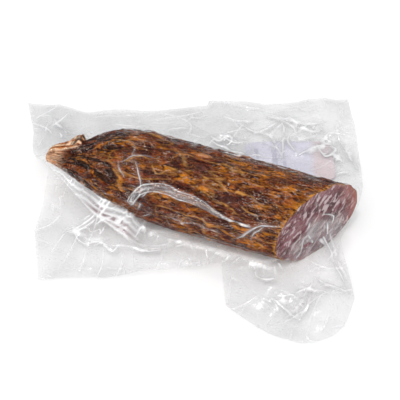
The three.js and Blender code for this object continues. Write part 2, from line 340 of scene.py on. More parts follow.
def veins(along, turn):
    """Thin wandering ridges that run along the casing, from 0 to 1."""
    round_mm = turn * ROUND
    bend = 3.5 * noise(along / 26, round_mm / 26, 0, 3)
    first = np.abs(layered(along / 40, (round_mm + bend) / 9, 1.5, 2, 11))
    second = np.abs(layered(along / 26, (round_mm - bend) / 7, 7.5, 2, 23))
    strong = rise(noise(along / 20, round_mm / 10, 4, 8), -0.3, 0.3)
    other = rise(noise(along / 16, round_mm / 8, 9, 9), -0.1, 0.5)
    scattered = np.maximum(strong * fall(first, 0, 0.09), 0.8 * other * fall(second, 0, 0.08))
    return np.maximum(0.7 * scattered, by_hand(along, turn, VEINS, VEIN_WIDTH, 1.3))


def wrinkles(along, turn):
    """Small drying wrinkles, stretched along the sausage, about -1 to 1."""
    round_mm = turn * ROUND
    warp = 2.0 * noise(along / 12, round_mm / 9, 3, 61)
    long_ones = 1 - 2.2 * np.abs(noise(along / 13, (round_mm + warp) / 4.0, 5, 62))
    short_ones = 1 - 2.2 * np.abs(noise(along / 6, (round_mm - warp) / 2.4, 8, 63))
    return 0.6 * long_ones + 0.5 * short_ones


def tip_folds(along, turn):
    """Deep folds that run out from the tip: 0 on the crests, 1 in the bottom of a fold."""
    wander = turn + 0.07 * np.sin(along / 6) + 0.2 * noise(along / 11, turn * 2.5, 0, 15)
    wide = 1 - np.abs(np.sin(6.5 * wander + 0.4)) ** 0.45
    narrow = 1 - np.abs(np.sin(17 * wander)) ** 0.6
    shown = rise(noise(along / 12, turn * 5, 4, 16), -0.7, 0.2)
    return np.maximum(np.maximum(wide, 0.75 * narrow) * shown, by_hand(along, turn, DEEP_FOLDS, 1.5, 0.6))


def fine_relief(along, turn, half_width):
    """Veins, wrinkles, folds and the fibres of the flap, on top of the coarse relief."""
    grown = rise(along, 25, 70)
    near_tip = fall(along, 22, 82)
    small = (WRINKLE_DEPTH * (wrinkles(along, turn) - 0.6)
             + 0.45 * (layered(along / 13, turn * ROUND / 7, 2.5, 3, 41) - 0.3))
    folds = -FOLD_DEPTH * half_width * near_tip * tip_folds(along, turn)
    fibres = (0.4 * (np.sin(52 * turn + along / 4 + 2 * noise(along / 6, turn * 9, 0, 19)) - 0.8)
              * np.sqrt(flap_mask(along, turn)))
    skin_deep = (0.35 + 0.65 * grown) * small + VEIN_HEIGHT * grown * veins(along, turn) + folds
    return above_floor(turn) * skin_deep + fibres


def placed(along, sideways, height):
    along, sideways, height = np.broadcast_arrays(along, sideways, height)
    return np.stack([TIP[0] + along * AXIS[0] + sideways * SIDE[0],
                     TIP[1] + along * AXIS[1] + sideways * SIDE[1], height], axis=-1)


def skin(share, turn, lift=0.0, bridge=None):
    """Points of the casing, or of the film over it where bridge says how far it spans hollows."""
    reach = SECTIONS[-1, 1] * np.sin(turn) / tan(CUT_ANGLE)
    along = share * (LENGTH + reach)
    a, b, shift, height = section_at(along)
    fine = fine_relief(along, turn, a)
    if bridge is not None:
        fine = np.maximum(fine, bridge)
    out = coarse_relief(along, turn, a) + fine + lift
    z = np.maximum(height + (b + out) * np.cos(turn), LOWEST_CASING + lift)
    return placed(along, (a + out) * np.sin(turn) + shift, z), along


def spot(along, degrees):
    """A place on the film over the smooth skin, for the pleat whose places are listed."""
    turn = radians(degrees)
    a, b, shift, height = section_at(along)
    return placed(along, (a + FILM_LIFT) * sin(turn) + shift, height + (b + FILM_LIFT) * cos(turn))


FACE_MIDDLE = placed(LENGTH, 0.0, SECTIONS[-1, 4])
FACE_ACROSS = np.array([cos(CUT_ANGLE + LIE_ANGLE), sin(CUT_ANGLE + LIE_ANGLE), 0])
FACE_OUT = np.array([FACE_ACROSS[1], -FACE_ACROSS[0], 0])
FACE_SIZE = SECTIONS[-1, 1:3] / (sin(CUT_ANGLE), 1)


def face_place(points):
    """Places on the cut face, as shares of its half width and half height from its middle."""
    offset = points - FACE_MIDDLE
    return np.stack([offset @ FACE_ACROSS, offset[:, 2]], axis=-1) / FACE_SIZE


# The form of the margins

def outside(x, y):
    along = (x - TIP[0]) * AXIS[0] + (y - TIP[1]) * AXIS[1]
    sideways = (x - TIP[0]) * SIDE[0] + (y - TIP[1]) * SIDE[1]
    a, _, shift, _ = section_at(along)
    past_side = np.maximum(np.abs(sideways - shift) - a, 0)
    past_cut = (along - LENGTH - sideways / tan(CUT_ANGLE)) * sin(CUT_ANGLE)
    gap = np.hypot(past_side, np.maximum(past_cut, 0))
    at_tip = np.maximum(np.hypot(along, sideways - shift) - a, 0)
    return along, sideways, np.where(along < 0, at_tip, gap)


def tent(along, sideways):
    """Where the film is held off the near side of the sausage, from the tip to a knot in the film."""
    return fall(along, TENT_END - 12, TENT_END + 6) * rise(along, -4, 14) * fall(sideways, -4, 4)


def seam_height(along, sideways):
    to_tip = fall(along, 5, TIP_SEAM_REACH)
    close = SEAM_HEIGHT + (SEAM_HEIGHT_AT_TIP - SEAM_HEIGHT) * to_tip
    return close + (TENT_HEIGHT - close) * tent(along, sideways)


def margin_top(x, y):
    along, sideways, gap = outside(x, y)
    waves = (np.sin(x / 13 + 0.7 * np.sin(y / 19)) * np.sin(y / 17 + 1.2)
             + 0.6 * np.sin(x / 7.5 - y / 11))
    flat = (np.maximum(MARGIN_HEIGHT - MARGIN_DROOP * gap, LOWEST_MARGIN)
            + MARGIN_WAVE * waves * rise(gap, 2, 20))
    to_tip = fall(along, 5, TIP_SEAM_REACH)
    reach = (FILLET + (FILLET_AT_TIP - FILLET) * to_tip) * (1 + 0.25 * np.sin(along / 6))
    reach = reach + (TENT_REACH - reach) * tent(along, sideways)
    seam = seam_height(along, sideways)
    return np.maximum(flat + (seam - MARGIN_HEIGHT) * np.exp(-gap / reach), LOWEST_MARGIN_TOP)


def ridged(x, y, angle, length, warp, seed):
    """Straight-sided folds across one direction, from 0 in the hollows to 1 on the crests."""
    u = x * cos(angle) + y * sin(angle) + warp * noise(x / 31, y / 31, 0, seed)
    return np.abs(((u / length) % 1) * 2 - 1)


# Families of folds in the loose film: height, direction, spacing, wander, seed
FOLD_FAMILIES = [(0.8, 0.6, 37, 15, 51), (0.6, 2.0, 29, 12, 52), (0.45, 1.2, 17, 9, 53),
                 (0.3, 2.7, 12, 7, 54)]


def crumple(x, y):
    """Creases of loose film, in mm."""
    _, _, gap = outside(x, y)
    far_right = rise(x, -5, 50) * rise(y, 30, 60)
    calm = 0.45 + 1.1 * far_right + 0.15 * rise(-y, 60, 100)
    folds = sum(height * ridged(x, y, *family) for height, *family in FOLD_FAMILIES)
    return rise(gap, 3, 16) * calm * (folds - 0.9)


def fold_lines(x, y):
    """Sharp lines on the crests of the loose film's folds, broken up, from 0 to 1, for a painted highlight.
    """
    lines = np.zeros(x.shape)
    for _, angle, length, warp, seed in FOLD_FAMILIES:
        off_crest = (1 - ridged(x, y, angle, length, warp, seed)) * length / 2
        shown = rise(noise(x / 17, y / 17, 5, seed), 0.05, 0.45)
        lines = np.maximum(lines, shown * bell(off_crest / 0.6))
    return lines


def outline():
    """The bag's outline in plan, anticlockwise from its far left corner.

    Each stretch has its end, and the point that bends it where it is curved.
    """
    path = [(-127.5, 116), (-119.5, 78), (-103, 26, -121, 47), (-110.5, -22, -107, 2), (-104.5, -66),
            (-60, -65), (22, -54), (25, -91), (74, -122, 47, -113), (108, -98, 103, -119), (113, -84),
            (107, -32), (127.5, 22, 121, -8), (127.5, 84), (124.5, 122), (102, 122), (58, 117),
            (14.5, 119), (13.5, 112.5), (-33, 107), (-80, 105.5), (-102, 114)]
    points = []
    for stretch, before in zip(path, path[-1:] + path[:-1]):
        start, end, bend = (np.array(place, float) for place in (before[:2], stretch[:2], stretch[2:]))
        if not bend.size:
            points.append(end)
            continue
        for u in np.linspace(0, 1, 10)[1:]:
            points.append((1 - u) ** 2 * start + 2 * u * (1 - u) * bend + u * u * end)
    return np.array(points)


OUTLINE = outline()


# Meshes

def new_object(name, data):
    obj = bpy.data.objects.new(name, data)
    bpy.context.scene.collection.objects.link(obj)
    return obj


def mesh_from(name, points, faces, smooth=True):
    mesh = bpy.data.meshes.new(name)
    mesh.from_pydata((np.asarray(points) * MM).tolist(), [], faces)
    mesh.validate()
    mesh.polygons.foreach_set("use_smooth", [smooth] * len(mesh.polygons))
    mesh.update()
    return new_object(name, mesh)


def paint(obj, name, values):
    layer = obj.data.attributes.new(name, "FLOAT", "POINT")
    layer.data.foreach_set("value", np.asarray(values, np.float32).ravel())


def grid_faces(rows, columns, wrap=False, first=0):
    i, j = np.meshgrid(np.arange(rows - 1), np.arange(columns if wrap else columns - 1), indexing="ij")
    a = first + i * columns + j
    b = first + i * columns + (j + 1) % columns
    return np.stack([a, a + columns, b + columns, b], axis=-1).reshape(-1, 4)


# Patches of colour on the near side: place along, degrees round, half length, half width
AMBER_PATCHES = [
    (98, -26, 9, 2.6), (112, -29, 6, 2.4), (30, -30, 12, 2.4), (36, -47, 12, 1.6), (90, 3, 4, 2),
    (57, -1, 5, 1.6), (71, -48, 3, 2), (102, -62, 8, 3), (125, -64, 6, 3), (165, 2, 4, 2.5),
    (178, -20, 4, 2.5), (170, -41, 5, 2.5), (169, -96, 7, 4), (189, -34, 5, 3), (136, -5, 5, 2.4),
    (44, -22, 5, 1.8), (80, -32, 5, 2), (130, -38, 6, 2.2), (146, -16, 6, 2.4), (156, -20, 5, 2.2),
    (180, -76, 6, 4), (148, 4, 5, 2), (100, 4, 5, 2), (150, 14, 14, 3), (172, 14, 12, 4), (188, -8, 9, 4),
    (196, -26, 6, 6), (160, -8, 8, 3), (192, -56, 8, 5), (120, 12, 8, 2.5), (70, 8, 6, 2),
]
GREY_PATCHES = [
    (88, -31, 6, 4), (102, -39, 7, 4), (123, -35, 5, 3), (133, -34, 6, 3), (148, -48, 7, 4),
    (105, -7, 7, 4), (122, -13, 6, 4), (93, -50, 6, 3), (59, -50, 6, 4), (140, -77, 7, 4), (108, -68, 6, 3),
]
# Flecks of fat on the cut face: shares across and up from its middle, half length, half width
FAT_FLECKS = [
    (0.17, 0.42, 4.5, 2.2), (0.02, 0.62, 4.0, 1.2), (0.31, 0.88, 3.0, 1.0), (-0.18, 0.98, 3.2, 1.1),
    (-0.46, 0.88, 2.6, 1.0), (-0.34, 0.67, 3.0, 0.9), (0.48, 0.53, 2.6, 1.0), (0.14, 0.7, 3.2, 1.2),
    (-0.69, 0.53, 2.6, 0.8), (-0.58, 0.3, 2.8, 0.9), (-0.77, 0.1, 2.2, 0.8), (-0.26, 0.35, 3.4, 1.0),
    (0.4, 0.22, 3.6, 1.5), (-0.1, 0.2, 3.0, 1.3), (-0.45, -0.15, 3.0, 1.0), (0.62, 0.25, 2.4, 1.0),
    (0.1, -0.3, 3.0, 1.2), (-0.2, -0.5, 3.0, 1.0), (0.35, -0.5, 2.6, 1.0),
]
FLECK_TILT = radians(53)


def patches(along, turn, places):
    """How far listed patches cover the casing, from 0 to 1."""
    cover = np.zeros(along.shape)
    for at, degrees, length, width in places:
        off = (turn - radians(degrees)) * ROUND
        cover = np.maximum(cover, bell((along - at) / length, off / width))
    return cover


def flecks(points):
    """How far flecks of fat cover the cut face, from 0 to 1."""
    flat = face_place(points) * FACE_SIZE
    cover = np.zeros(len(points))
    for *middle, length, width in FAT_FLECKS:
        cover = np.maximum(cover, oval(flat, np.multiply(middle, FACE_SIZE), length, width, FLECK_TILT))
    return cover


def sausage():
    """Casing and cut face as one closed mesh, with the face in its own material slot."""
    share = np.concatenate([np.linspace(0, TIP_SHARE, TIP_ROWS, endpoint=False),
                            np.linspace(TIP_SHARE, 1, CASING_ROWS - TIP_ROWS)])
    even = np.linspace(-pi, pi, CASING_AROUND, endpoint=False)
    finer_in_front = FINEST_TURN + even - 0.35 * np.sin(even)
    turn = np.sort((finer_in_front + pi) % (2 * pi) - pi)
    points, along = skin(share[:, None], turn[None, :])
    rim = points[-1]
    middle = rim.mean(axis=0)
    inward = np.arange(1, FACE_RINGS)[:, None] / FACE_RINGS
    face = rim + (middle - rim) * inward[..., None]
    relief = FACE_RELIEF * layered(face[..., 2] / 4, face[..., 1] / 5, face[..., 0] / 5, 3, 71)
    face = face + ((CUT_BULGE * (1 - (1 - inward) ** 2) + rise(inward, 0, 0.06) * relief)[..., None]
                   * FACE_OUT)
    tip_point = points[0].mean(axis=0) - np.array([*AXIS, 0]) * TIP_POINT
    every = np.concatenate([points.reshape(-1, 3), face.reshape(-1, 3), [middle + FACE_OUT * CUT_BULGE],
                            [tip_point]])

    start_of_face = along.size
    last_ring = start_of_face + (FACE_RINGS - 2) * CASING_AROUND
    around = np.arange(CASING_AROUND)
    following = (around + 1) % CASING_AROUND
    tip_fan = np.stack([around, following, np.full(CASING_AROUND, len(every) - 1)], axis=1)
    centre_fan = np.stack([last_ring + around, np.full(CASING_AROUND, len(every) - 2), last_ring + following],
                          axis=1)
    casing_quads = grid_faces(CASING_ROWS, CASING_AROUND, wrap=True)
    face_quads = grid_faces(FACE_RINGS, CASING_AROUND, wrap=True, first=start_of_face - CASING_AROUND)
    faces = casing_quads.tolist() + tip_fan.tolist() + face_quads.tolist() + centre_fan.tolist()
    obj = mesh_from("sausage", every, faces)
    cut = np.arange(len(faces)) >= len(casing_quads) + len(tip_fan)
    obj.data.polygons.foreach_set("material_index", cut.astype(np.int32))

    turns = np.broadcast_to(turn, along.shape)
    on_casing = {
        "vein": veins(along, turns) * rise(along, 25, 60),
        # painted shade: the casing is darker in the hollows of its small wrinkles
        "hollow_shade": np.clip(0.3 - 0.6 * wrinkles(along, turns), 0, 1),
        # painted shade in the bottoms of the deep folds at the tip
        "fold": fall(along, 40, 85) * rise(along, 7, 20) * tip_folds(along, turns),
        "flap": flap_mask(along, turns),
        "cut_edge": np.broadcast_to(rise(share[:, None], 0.984, 0.996), along.shape),
        "strip": wave(46 * turns + along / 4 + 2.5 * noise(along / 7, turns * 6, 0, 19)),
        "along": along / LENGTH,
        "amber": patches(along, turns, AMBER_PATCHES),
        "grey": patches(along, turns, GREY_PATCHES),
    }
    rest = len(every) - along.size
    for name, values in on_casing.items():
        paint(obj, name, np.concatenate([values.ravel(), np.zeros(rest)]))
    rim_share = np.repeat(1 - inward[:, 0], CASING_AROUND)
    paint(obj, "rim", np.concatenate([np.zeros(along.size), rim_share, [0, 0]]))
    paint(obj, "fat", np.concatenate([np.zeros(along.size), flecks(every[along.size:])]))
    across, upward = face_place(every).T
    paint(obj, "far_corner", rise(across + 0.25 * upward, 0.55, 1.0))
    return obj


# Stretches of the film's rows
BEFORE_TIP, ON_SAUSAGE, ON_FACE, BEYOND_CUT = range(4)


def film_grid(step, under):
    """Points of the bag's upper or lower film in rows across the sausage, over it and its margins.

    Also gives each row's stretch and the number of the point that each point is welded to.
    """
    before = np.arange(-GRID_BEFORE, 0, step) / LENGTH
    on = np.linspace(0, 1, int(LENGTH / step) + 1)
    beyond = 1 + np.arange(step, GRID_BEYOND, step) / LENGTH
    face_rows = int((13 if under else 60) / step)
    columns = np.linspace(-1, 1, int((70 if under else 150) / step) + 1)
    near = np.arange(step, GRID_NEAR, step)[::-1]
    far = np.arange(step, GRID_FAR, step)

    def flat_points(along, side):
        points = placed(along, side, 0.0)
        points[..., 2] = margin_top(*plan(points))
        return points

    def flat_rows(shares, first, last):
        side = np.concatenate([first - near, first + (last - first) * (columns + 1) / 2, last + far])
        slant = np.where(shares[:, None] > 1, side / tan(CUT_ANGLE), 0)
        return flat_points(shares[:, None] * LENGTH + slant, side[None, :])

    _, b, _, height = section_at(on * LENGTH)
    limits = [np.arccos(np.clip((seam_height(on * LENGTH, side) - height) / b, -0.92, 0.92))[:, None]
              for side in (-20, 20)]
    limit = np.where(columns < 0, *limits)
    if under:
        turn = np.sign(columns + 1e-9) * (pi - (pi - limit) * np.abs(columns))
    else:
        turn = columns * limit
    hump, _ = skin(on[:, None], turn, FILM_LIFT, bridge=FILM_BRIDGE)
    sides = [((hump[:, end, :2] - TIP) @ SIDE)[:, None] for end in (0, -1)]
    margins = [flat_points(on[:, None] * (LENGTH + side / tan(CUT_ANGLE)), side)
               for side in (sides[0] - near, sides[1] + far)]
    over = np.concatenate([margins[0], hump, margins[1]], axis=1)

    half, _, shift, _ = section_at(0.0)
    body = slice(len(near), len(near) + len(columns))
    edge = over[-1]
    chord = edge.copy()
    u = (columns[:, None] + 1) / 2
    chord[body] = edge[body][0] * (1 - u) + edge[body][-1] * u
    v = (np.arange(1, face_rows + 1) / face_rows)[:, None, None]
    wall = edge * (1 - v) + chord * v
    swell = CUT_BULGE * 4 * v * (1 - v) + FACE_FILM_LIFT
    wall[:, body] += swell * np.sqrt(np.clip(1 - columns ** 2, 0, 1))[:, None] * FACE_OUT

    points = np.concatenate([flat_rows(before, shift - half, shift + half), over, wall,
                             flat_rows(beyond, sides[0][-1, 0], sides[1][-1, 0])])
    kind = np.repeat([BEFORE_TIP, ON_SAUSAGE, ON_FACE, BEYOND_CUT],
                     [len(before), len(on), face_rows, len(beyond)])
    welded = np.arange(points.shape[0] * points.shape[1]).reshape(points.shape[:2])
    at_side = np.ones(points.shape[1], bool)
    at_side[body.start + 1:body.stop - 1] = False
    last_on = len(before) + len(on) - 1
    welded[np.ix_(kind == ON_FACE, at_side)] = welded[last_on, at_side]
    return points, kind, welded


def relax(points, amount, rounds):
    """Draws the film taut: moves grid points towards the mean of their four neighbours."""
    p = points.copy()
    for _ in range(rounds):
        mean = p.copy()
        mean[1:-1, 1:-1] = 0.25 * (p[:-2, 1:-1] + p[2:, 1:-1] + p[1:-1, :-2] + p[1:-1, 2:])
        p += amount[..., None] * (mean - p)
    return p


def grid_normals(p):
    n = np.cross(np.gradient(p, axis=0), np.gradient(p, axis=1))
    n /= np.linalg.norm(n, axis=-1, keepdims=True) + 1e-9
    return n


def trimmed(name, points, welded, layers, columns=slice(None)):
    """Film between two columns of the grid that lies inside the bag's outline, its edge drawn onto it."""
    flat = points.reshape(-1, 3).copy()
    own = np.zeros(welded.shape, bool)
    own[:, columns] = True
    quads = grid_faces(*welded.shape)
    quads = welded.ravel()[quads[own.ravel()[quads].all(axis=1)]]
    keep = inside(OUTLINE, flat[:, 0], flat[:, 1])
    quads = quads[keep[quads].any(axis=1)]
    edge = np.unique(quads[~keep[quads]])
    _, _, flat[edge, :2] = nearest_on_line(flat[edge, :2], np.vstack([OUTLINE, OUTLINE[:1]]))
    used = np.unique(quads)
    index = np.full(len(flat), -1)
    index[used] = np.arange(len(used))
    quads = index[quads]
    first_shut, last_shut = quads[:, 0] == quads[:, 1], quads[:, 2] == quads[:, 3]
    faces = (quads[~first_shut & ~last_shut].tolist() + quads[first_shut & ~last_shut][:, [0, 2, 3]].tolist()
             + quads[~first_shut & last_shut][:, :3].tolist())
    obj = mesh_from(name, flat[used], faces)
    for layer, values in layers.items():
        paint(obj, layer, values.ravel()[used])
    return obj


# The long pleat on the near side and the small creases of the film over the sausage: places along and
# degrees round in turn, then width, height and veil
LONG_PLEAT = (76, -94, 79, -80, 83, -66, 89, -57, 97, -52, 105, -51, 114, -54, 123, -54, 133, -58,
              143, -64, 153, -68, 168, -69)
SKIN_CREASES = [
    ((75, -27, 79, -40, 83, -54, 85, -62), 0.6, 0.7, 0.6),
    ((62, -36, 66, -34, 69, -30, 74, -23, 79, -19, 88, -18), 0.5, 0.4, 0.3),
    ((61, -36, 64, -43, 69, -52, 71, -56), 0.5, 0.5, 0.35), ((72, -23, 71, -14, 70, -5), 0.5, 0.3, 0.25),
    ((168, -69, 173, -65, 180, -62, 188, -59), 0.6, 0.7, 0.5),
    ((171, -65, 167, -74, 163, -82, 157, -94), 1.2, 1.2, 0.5),
    ((176, -64, 170, -76, 168, -92), 0.6, 0.6, 0.4), ((86, -57, 84, -68, 86, -79, 84, -92), 0.9, 1.0, 0.6),
    ((80, -62, 82, -74, 80, -90), 0.7, 0.8, 0.5), ((94, -92, 90, -100, 86, -108), 0.7, 0.5, 0.4),
    ((89, -57, 84, -63, 80, -72, 79, -84), 0.5, 0.7, 0.7),
    ((92, -55, 90, -64, 84, -76, 77, -88), 0.5, 0.6, 0.6),
    ((78, -74, 84, -72, 90, -76, 92, -86), 0.4, 0.5, 0.5),
    ((74, -84, 80, -80, 88, -84, 94, -94), 0.4, 0.5, 0.5), ((96, -84, 120, -88, 150, -92), 0.5, 0.3, 0.22),
]

# Creases over the cut face: shares of its half width and half height from its middle, towards the far
# side and up, in turn, then width, height and veil
FACE_CREASES = [
    ((-0.89, -0.18, -0.62, -0.15, -0.39, -0.01, -0.27, 0.1, -0.17, 0.39), 0.6, 0.6, 0.55),
    ((-0.04, 0.37, 0.14, 0.23, 0.32, 0.04, 0.34, -0.23), 0.6, 0.5, 0.5),
    ((-0.25, -0.12, -0.37, -0.28, -0.34, -0.86), 0.6, 0.7, 0.5),
    ((-0.25, -0.12, -0.06, -0.66, 0.04, -0.96), 0.6, 0.7, 0.5),
    ((0.21, -0.08, 0.28, -0.6, 0.4, -0.9), 0.7, 0.5, 0.5),
    ((-0.05, -0.54, 0.1, -0.72, 0.2, -0.85), 1.0, 1.0, 0.8),
    ((-0.11, 0.98, -0.11, 0.7, -0.04, 0.36), 0.4, 0.2, 0.2),
    ((-0.25, 0.41, -0.26, 0.16, -0.26, -0.11), 0.5, 0.5, 0.4),
    ((0.42, 0.35, 0.65, 0.34, 0.8, 0.32), 0.5, 0.4, 0.35),
    ((0.33, 0.01, 0.56, -0.04, 0.65, 0.01), 0.5, 0.4, 0.35),
    ((-0.25, -0.12, -0.55, -0.55, -0.66, -0.7), 0.5, 0.5, 0.4),
]
FACE_CREASE_VEIL = 1.3
# Outline of the whitish film over the cut face, in the same shares
FACE_VEIL = [(-0.2, 0.42), (0.32, 0.1), (0.75, -0.1), (0.75, -0.7), (0.12, -1.2), (-0.7, -0.9),
             (-0.92, -0.25), (-0.4, 0.0)]

# Creases of the margins, sharp, soft and faint: width, height and veil, then places in plan in turn
MARGIN_CREASES = {
    (0.95, 0.5, 1.2): [
        (-42, 0, -66, -14, -90, -26),
        (-39, -35, -32, -27, -21, -26, -13, -29, -4, -25, 1, -31, 9, -32, 31, -32),
        (-81, -25, -78, -33, -73, -37, -63, -35, -57, -41, -53, -42, -46, -35),
        (-66, -22, -60, -20, -54, -20), (-50, -28, -46, -30), (-30, -21, -3, -27, 22, -32, 31, -33),
        (8, -22, 20, -27, 29, -30, 40, -26), (39, -27, 48, -37, 61, -45), (8, -28, 17, -35, 28, -38),
        (38, -29, 40, -39, 44, -59), (45, -62, 46, -66, 51, -69, 59, -68),
        (87, -65, 94, -72, 102, -76, 111, -81), (73, -80, 77, -77, 81, -75), (83, -81, 80, -92, 75, -102),
        (57, -84, 65, -93, 74, -103), (90, -33, 95, -35, 99, -43, 102, -56, 106, -70, 108, -76),
        (71, 94, 72, 84, 71, 69, 70, 53), (59, 79, 63, 71, 70, 54), (80, 55, 87, 60, 94, 66, 108, 67),
        (74, 77, 75, 69, 78, 61, 80, 59), (114, 83, 114, 73, 117, 65, 121, 53, 125, 38),
        (108, 35, 113, 38, 119, 38), (97, 69, 100, 60, 102, 55, 107, 57, 110, 64, 106, 67),
        (55, 71, 59, 72, 63, 69, 64, 65, 59, 66, 55, 70), (39, 90, 44, 86, 52, 82, 57, 85, 68, 93),
        (14, 78, 18, 74, 23, 72, 27, 77, 31, 76, 32, 72, 29, 68),
        (16, 72, 21, 68, 27, 66, 31, 62, 36, 59, 43, 54), (-108, 99, -104, 93, -95, 79),
        (-106, 98, -101, 89, -91, 79),
    ],
    (0.85, 0.45, 0.6): [
        (-41, 5, -68, -12, -92, -25), (-43, -5, -64, -17, -87, -26), (-40, -12, -42, -25),
        (-44, -36, -36, -42, -27, -44, -13, -41, -4, -40),
        (-37, -36, -28, -39, -4, -37, 6, -35, 15, -39, 28, -36), (-92, 30, -87, 28, -81, 27),
        (29, -30, 34, -40, 40, -51), (40, -28, 38, -40, 44, -57), (53, -43, 49, -50, 45, -59),
        (34, -42, 38, -50, 44, -60), (32, -35, 27, -51, 26, -55), (48, -58, 54, -56, 60, -58, 66, -64),
        (86, -64, 85, -68, 82, -80), (90, -73, 96, -74, 103, -77), (72, -80, 71, -85, 73, -93, 74, -102),
        (57, -84, 66, -82, 72, -81), (98, -27, 102, -43, 106, -60, 111, -79),
        (100, -30, 105, -51, 112, -78), (28, -97, 36, -107, 47, -112, 59, -116),
        (37, 74, 44, 77, 54, 83, 63, 88), (26, 65, 30, 62, 42, 55, 53, 51, 64, 52, 73, 55),
        (-20, 82, -6, 86, 8, 84), (-108, 95, -110, 86, -110, 77), (-101, 80, -98, 73),
        (-119, 46, -113, 48, -109, 48), (-118, 40, -110, 39),
    ],
    (0.7, 0.4, 0.25): [
        (-104, -58, -60, -57, -20, -54, 16, -48), (-70, -44, -62, -52),
        (27, 107, 55, 109, 83, 109, 114, 109), (115, 121, 117, 109, 118, 89, 124, 59),
        (-48, 84, -30, 90, -12, 92), (-93, 98, -84, 95, -69, 98, -35, 103), (-107, 70, -100, 55, -103, 30),
    ],
}
# Places where folded film shines: middle in plan, half length, half width, direction
GLARES = [
    (87, 87, 9, 2.6, -20), (96, 80, 6, 2.0, 40), (105, 73, 6, 1.8, 10), (113, 86, 8, 1.4, 88),
    (112, 54, 6, 1.4, 85), (75, -90, 12, 3.4, 82), (92, 93, 8, 1.6, 15), (103, 60, 4, 1.6, 60),
    (61, 88, 7, 1.4, 35), (48, -31, 6, 1.4, 20), (57, -50, 4, 1.2, 45), (60, 78, 8, 3.0, -40),
    (92, 62, 6, 3.6, 60), (104, 76, 8, 4.2, 45), (112, 52, 8, 2.6, -60), (120, 62, 6, 2.0, -70),
    (43, 94, 7, 2.6, 30), (68, 99, 8, 2.6, -15), (82, 94, 8, 3.4, -20), (96, 88, 9, 4.5, 60),
    (86, 75, 9, 3.2, 20), (103, 68, 8, 3.4, 40), (111, 53, 6, 2.6, -60), (25, 76, 5, 2.0, 20),
    (-79, -26, 8, 3.0, -35), (-66, -33, 8, 2.6, 0), (-49, -24, 5, 2.0, 0), (-28, -42, 12, 1.6, 5),
    (-7, -36, 8, 1.6, -10), (63, -85, 7, 3.6, -55), (73, -91, 8, 3.4, 60), (84, -77, 9, 1.6, -20),
    (91, -36, 6, 1.6, -30),
]
GLARE_HAZE = 0.55
LOWEST_FILM = 1.0
THICKEST_HAZE = 0.95
FAR_EDGE_TURN = radians(44)
FAR_EDGE_SPREAD = radians(12)


class Folds:
    """What is added to the points of a film: haze, white shine (whiter folded film and painted highlight),
    and lift along its normal.
    """

    def __init__(self, haze):
        self.haze = haze
        self.shine = np.zeros(len(haze))
        self.lift = np.zeros(len(haze))

    def add(self, haze, shine, lift=0.0, which=slice(None)):
        self.haze[which] += haze
        self.shine[which] = np.maximum(self.shine[which], shine)
        self.lift[which] += lift

    def crease(self, flat, shown, line, width, height, veil):
        """Adds a fold along a line. Flat gives each point's two places in the plane of the line."""
        which, _, _ = near_line(flat, line, 5 * width + 2)
        u, v = flat[which].T
        jag = np.stack([noise(u / 7, v / 7, n) for n in (0, 1)], axis=-1)
        d, share, _ = nearest_on_line(flat[which] + 0.9 * jag, line)
        taper = np.sqrt(np.clip(4 * share * (1 - share), 0.03, 1))
        thick = width * taper * (0.85 + 0.4 * noise(u / 8, v / 8, 7))
        fade = np.sqrt(taper) * rise(noise(u / 6, v / 6, 8), -1.0, 0.0) * shown[which]
        core = fade * bell(d / thick)
        self.add(veil * (core + 0.14 * fade * bell(d / (3.5 * width))), 0.9 * core,
                 height * fade * np.exp(-d / width), which)


